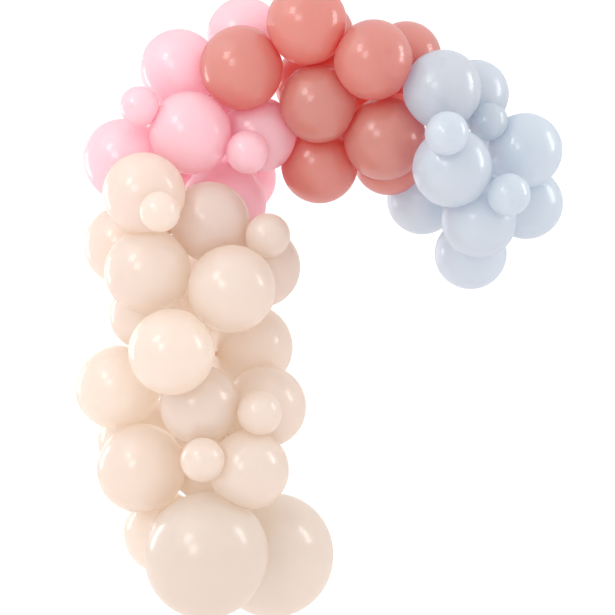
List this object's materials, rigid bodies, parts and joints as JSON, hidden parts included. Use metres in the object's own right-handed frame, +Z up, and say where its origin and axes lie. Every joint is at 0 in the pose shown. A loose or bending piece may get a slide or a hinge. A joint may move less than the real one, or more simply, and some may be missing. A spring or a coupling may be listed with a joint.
{
  "type": "balloon arch",
  "caption": "Half arch of round latex balloons in bands of cream, pink, coral and pale blue, tied along one perforated strip that hangs from its top bend.",
  "frame": {"origin": "middle of the strip's level hanging stretch, on its upper face", "axes": "+Z up; +X from the column towards the drooping end; +Y from the viewer to the wall behind"},
  "size_m": [1.495, 0.8532, 1.9174],
  "materials": {
    "cream_latex": "satin",
    "pink_latex": "satin",
    "coral_latex": "satin",
    "blue_latex": "satin",
    "clear_strip": "gloss"
  },
  "bodies": {
    "root": {"balloon_strip": "clear_strip", "blue_medium_1": "blue_latex", "blue_medium_2": "blue_latex", "blue_medium_3": "blue_latex", "blue_medium_4": "blue_latex", "blue_medium_5": "blue_latex", "blue_medium_6": "blue_latex", "blue_medium_7": "blue_latex", "blue_medium_8": "blue_latex", "blue_medium_9": "blue_latex", "blue_small_1": "blue_latex", "blue_small_2": "blue_latex", "blue_small_3": "blue_latex", "coral_medium_1": "coral_latex", "coral_medium_2": "coral_latex", "coral_medium_3": "coral_latex", "coral_medium_4": "coral_latex", "coral_medium_5": "coral_latex", "coral_medium_6": "coral_latex", "coral_medium_7": "coral_latex", "coral_medium_8": "coral_latex", "coral_medium_9": "coral_latex", "coral_medium_10": "coral_latex", "coral_medium_11": "coral_latex", "cream_large_1": "cream_latex", "cream_large_2": "cream_latex", "cream_medium_1": "cream_latex", "cream_medium_2": "cream_latex", "cream_medium_3": "cream_latex", "cream_medium_4": "cream_latex", "cream_medium_5": "cream_latex", "cream_medium_6": "cream_latex", "cream_medium_7": "cream_latex", "cream_medium_8": "cream_latex", "cream_medium_9": "cream_latex", "cream_medium_10": "cream_latex", "cream_medium_11": "cream_latex", "cream_medium_12": "cream_latex", "cream_medium_13": "cream_latex", "cream_medium_14": "cream_latex", "cream_medium_15": "cream_latex", "cream_medium_16": "cream_latex", "cream_medium_17": "cream_latex", "cream_medium_18": "cream_latex", "cream_small_1": "cream_latex", "cream_small_2": "cream_latex", "cream_small_3": "cream_latex", "cream_small_4": "cream_latex", "pink_medium_1": "pink_latex", "pink_medium_2": "pink_latex", "pink_medium_3": "pink_latex", "pink_medium_4": "pink_latex", "pink_medium_5": "pink_latex", "pink_medium_6": "pink_latex", "pink_medium_7": "pink_latex", "pink_medium_8": "pink_latex", "pink_small_1": "pink_latex", "pink_small_2": "pink_latex", "pink_small_3": "pink_latex"}
  },
  "joints": []
}
